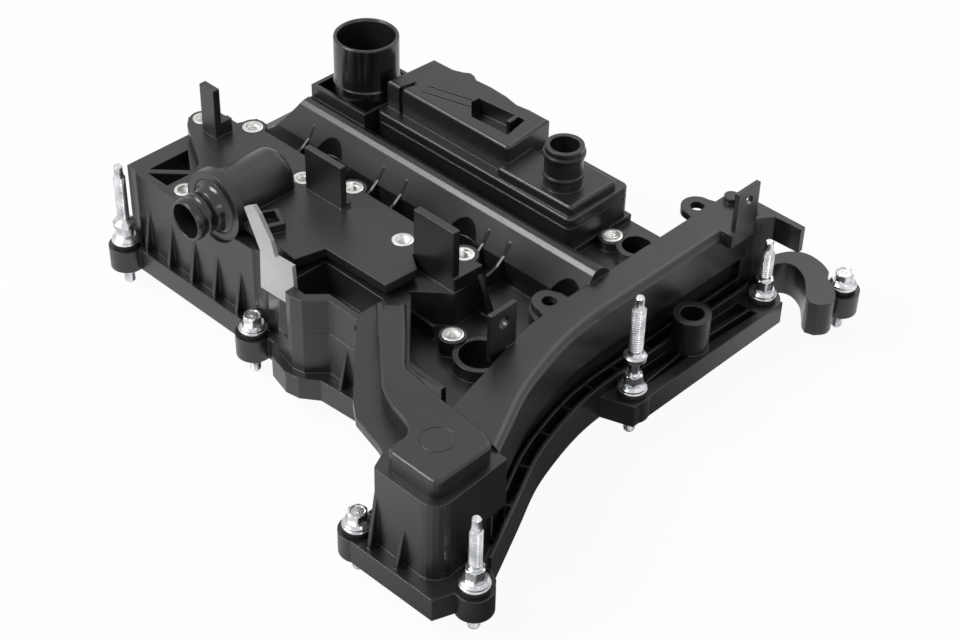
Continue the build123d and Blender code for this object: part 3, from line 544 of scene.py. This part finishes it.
class OBJECT_OT_cover_connector(bpy.types.Operator):
    """Hose connector whose nozzle stands out of the breather's mouth, with a bead and a rib"""

    bl_idname = "valvecover.connector"
    bl_label = "Hose connector"

    def execute(self, context):
        mouth = [(CONNECTOR_BORE, -89.6), (CONNECTOR_BORE, -109.2), (9.4, -109.8), (9.9, -110.0)]
        bead = [(10.5, -109.8), (11.0, -108.9), (11.4, -107.4), (11.4, -105.9), (10.6, -105.3),
                (10.5, -103.4)]
        rib = [(10.9, -102.9), (11.3, -102.6), (11.3, -100.6), (10.8, -100.1), (10.6, -99.6),
               (10.6, -97.6)]
        foot = [(11.0, -97.1), (11.6, -95.0), (12.4, -93.0), (13.6, -92.2), (14.5, -92.0), (14.8, -91.7),
                (14.8, -89.6)]
        wall = revolve_along_y(mouth + bead + rib + foot, *TUBE_AT)
        add_piece("nozzle", wall, finishes()["moulded_smooth"], replaces=["hose_connector"])
        return {"FINISHED"}


class OBJECT_OT_cover_stage(bpy.types.Operator):
    """Pale floor, soft lights, even room light and the camera"""

    bl_idname = "valvecover.stage"
    bl_label = "Stage, lights and camera"

    def execute(self, context):
        size = context.scene.valve_cover
        floor_mesh = bpy.data.meshes.new("floor")
        corners = [(x, y, 0.0) for x, y in ((-1, -1), (1, -1), (1, 1), (-1, 1))]
        corners = (np.array(corners) * FLOOR_REACH).tolist()
        floor_mesh.from_pydata(corners, [], [(0, 1, 2, 3)])
        floor = bpy.data.objects.new("floor", floor_mesh)
        context.scene.collection.objects.link(floor)
        floor_mesh.materials.append(floor_finish(size))
        for name, spot, shape, power in LAMPS:
            lamp = bpy.data.lights.new(name, "AREA")
            lamp.shape = "RECTANGLE"
            lamp.size, lamp.size_y = shape
            lamp.energy = power
            holder = bpy.data.objects.new(name, lamp)
            context.scene.collection.objects.link(holder)
            aim(holder, spot, AIM_POINT)
        room_light(context.scene, size.sky)
        camera_at_photo(context.scene)
        context.scene.view_settings.view_transform = "Standard"
        return {"FINISHED"}


def aim(holder, spot, target):
    """Put a lamp at spot, facing target, which isn't straight below it: its third axis points at spot."""
    back = np.array(spot, float) - np.array(target, float)
    back /= np.linalg.norm(back)
    side = np.cross((0.0, 0.0, 1.0), back)
    side /= np.linalg.norm(side)
    up = np.cross(back, side)
    rows = np.eye(4)
    rows[:3, 0], rows[:3, 1], rows[:3, 2], rows[:3, 3] = side, up, back, spot
    holder.matrix_world = Matrix(rows.tolist())


def floor_finish(size):
    """Plain pale floor: nearly white to the camera, with a little of the shadow, and white in reflections
    except for a painted shadow inside the arch.
    """
    material = bpy.data.materials.new("floor_finish")
    material.use_nodes = True
    tree = material.node_tree
    shader = tree.nodes["Principled BSDF"]
    shader.inputs["Base Color"].default_value = tuple(size.floor_colour) + (1.0,)
    shader.inputs["Roughness"].default_value = 0.9
    shader.inputs["Specular IOR Level"].default_value = 0.0
    path = add_node(tree, "ShaderNodeLightPath")
    # in reflections the floor is darker inside the arch of the timing end, where the part shades it
    centre, dark_within, white_beyond, dark_level = ARCH_SHADE
    where = add_node(tree, "ShaderNodeNewGeometry")
    reach = add_node(tree, "ShaderNodeVectorMath", {0: where.outputs["Position"], 1: centre},
                     operation="DISTANCE")
    fade = add_node(tree, "ShaderNodeMapRange", {0: reach.outputs["Value"], 1: dark_within, 2: white_beyond,
                                                 3: dark_level, 4: 1.0}, interpolation_type="SMOOTHSTEP")
    strength = add_node(tree, "ShaderNodeMath", {0: path.outputs["Is Camera Ray"], 1: fade.outputs[0]},
                        operation="MAXIMUM")
    glow = add_node(tree, "ShaderNodeEmission", {"Color": (1, 1, 1, 1), "Strength": strength.outputs[0]})
    share = add_node(tree, "ShaderNodeMath", {0: path.outputs["Is Camera Ray"], 1: CAMERA_WHITE,
                                              2: path.outputs["Is Glossy Ray"]}, operation="MULTIPLY_ADD")
    mixed = add_node(tree, "ShaderNodeMixShader", {0: share.outputs[0]})
    tree.links.new(shader.outputs[0], mixed.inputs[1])
    tree.links.new(glow.outputs[0], mixed.inputs[2])
    tree.links.new(mixed.outputs[0], tree.nodes["Material Output"].inputs["Surface"])
    return material


def room_light(scene, strength):
    """Even light of the room: white to the camera, a little darker in reflections, weaker as light."""
    world = bpy.data.worlds.new("room")
    scene.world = world
    world.use_nodes = True
    tree = world.node_tree
    tree.nodes.clear()
    path = add_node(tree, "ShaderNodeLightPath")
    seen = add_node(tree, "ShaderNodeMath", {0: path.outputs["Is Glossy Ray"], 1: MIRRORED_SKY},
                    operation="MULTIPLY")
    both = add_node(tree, "ShaderNodeMath", {0: path.outputs["Is Camera Ray"], 1: seen.outputs[0]},
                    operation="MAXIMUM")
    level = add_node(tree, "ShaderNodeMapRange", {0: both.outputs[0], 3: strength, 4: 1.0})
    sky = add_node(tree, "ShaderNodeBackground", {"Color": (1, 1, 1, 1), "Strength": level.outputs[0]})
    out = add_node(tree, "ShaderNodeOutputWorld")
    tree.links.new(sky.outputs[0], out.inputs["Surface"])


def camera_at_photo(scene):
    """Camera at the place and angles of the photograph."""
    lens = bpy.data.cameras.new("photo_view")
    lens.sensor_width = SENSOR_WIDTH
    lens.lens = FOCAL_PIXELS / FRAME_PIXELS * SENSOR_WIDTH
    lens.clip_start, lens.clip_end = 0.05, 50.0
    camera = bpy.data.objects.new("photo_view", lens)
    scene.collection.objects.link(camera)
    rows = np.eye(4)
    rows[:3, 0] = CAMERA_RIGHT
    rows[:3, 1] = -np.array(CAMERA_DOWN)
    rows[:3, 2] = -np.array(CAMERA_FORWARD)
    rows[:3, 3] = place(CAMERA_AT)[0]
    camera.matrix_world = Matrix(rows.tolist())
    scene.camera = camera


class VIEW3D_PT_valve_cover(bpy.types.Panel):
    """Lists the pieces and the settings"""

    bl_label = "Valve cover"
    bl_space_type = "VIEW_3D"
    bl_region_type = "UI"
    bl_category = "Valve cover"

    def draw(self, context):
        for cls in OPERATORS:
            self.layout.operator(cls.bl_idname)
        for key in ValveCoverSettings.__annotations__:
            self.layout.prop(context.scene.valve_cover, key)


OPERATORS = (
    OBJECT_OT_cover_finish, OBJECT_OT_cover_bolts, OBJECT_OT_cover_studs, OBJECT_OT_cover_washers,
    OBJECT_OT_cover_inserts, OBJECT_OT_cover_neck, OBJECT_OT_cover_connector, OBJECT_OT_cover_stage,
)


def register():
    """Register the settings, the operators and the panel."""
    for cls in (ValveCoverSettings, *OPERATORS, VIEW3D_PT_valve_cover):
        bpy.utils.register_class(cls)
    bpy.types.Scene.valve_cover = bpy.props.PointerProperty(type=ValveCoverSettings)


def unregister():
    """Take them out again, last one first."""
    del bpy.types.Scene.valve_cover
    for cls in (VIEW3D_PT_valve_cover, *OPERATORS[::-1], ValveCoverSettings):
        bpy.utils.unregister_class(cls)


def main():
    """Run every operator."""
    register()
    for cls in OPERATORS:
        family, action = cls.bl_idname.split(".")
        getattr(getattr(bpy.ops, family), action)()


if __name__ == "__main__":
    main()
